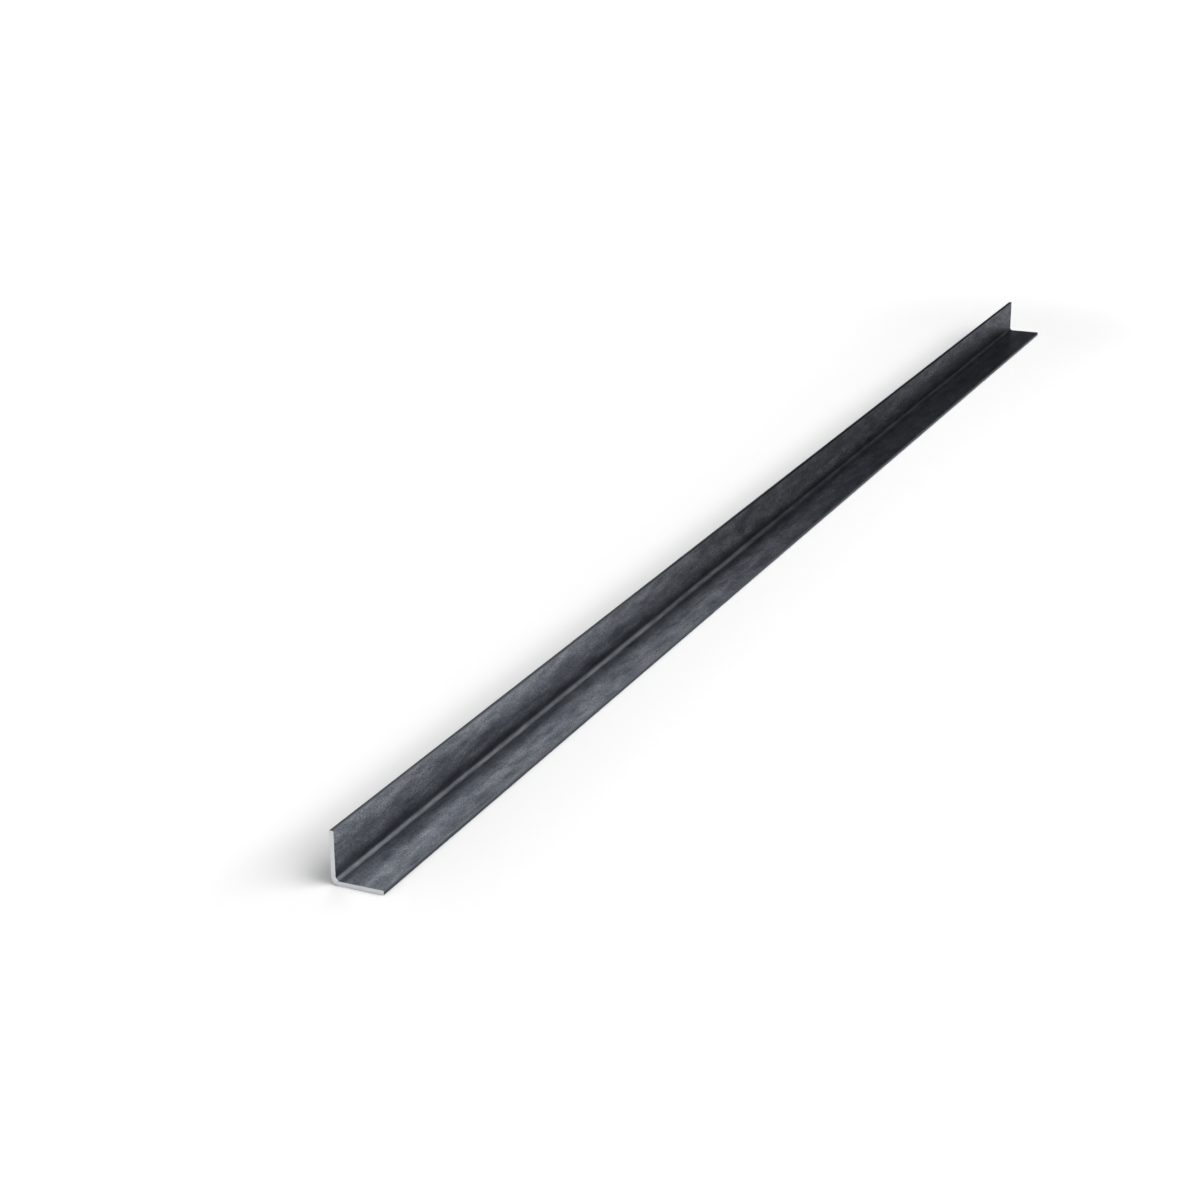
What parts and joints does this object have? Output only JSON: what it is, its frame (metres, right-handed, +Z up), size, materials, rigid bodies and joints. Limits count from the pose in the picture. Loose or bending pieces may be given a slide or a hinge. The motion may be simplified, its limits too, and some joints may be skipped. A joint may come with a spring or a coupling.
{
  "type": "steel angle section",
  "caption": "Straight cold-formed steel angle stock with equal legs, a rounded heel bend and square-sawn bright ends.",
  "frame": {"origin": "on the face that the section lies on, under the middle of its length and its width", "axes": "+X along the length, +Y along the lying leg from the heel to its toe, +Z up the standing leg to its toe"},
  "size_m": [1.5, 0.035, 0.035],
  "materials": {
    "steel": "dark blue-grey mill scale, bright sawn ends"
  },
  "bodies": {
    "root": {"angle_section": "steel"}
  },
  "joints": []
}
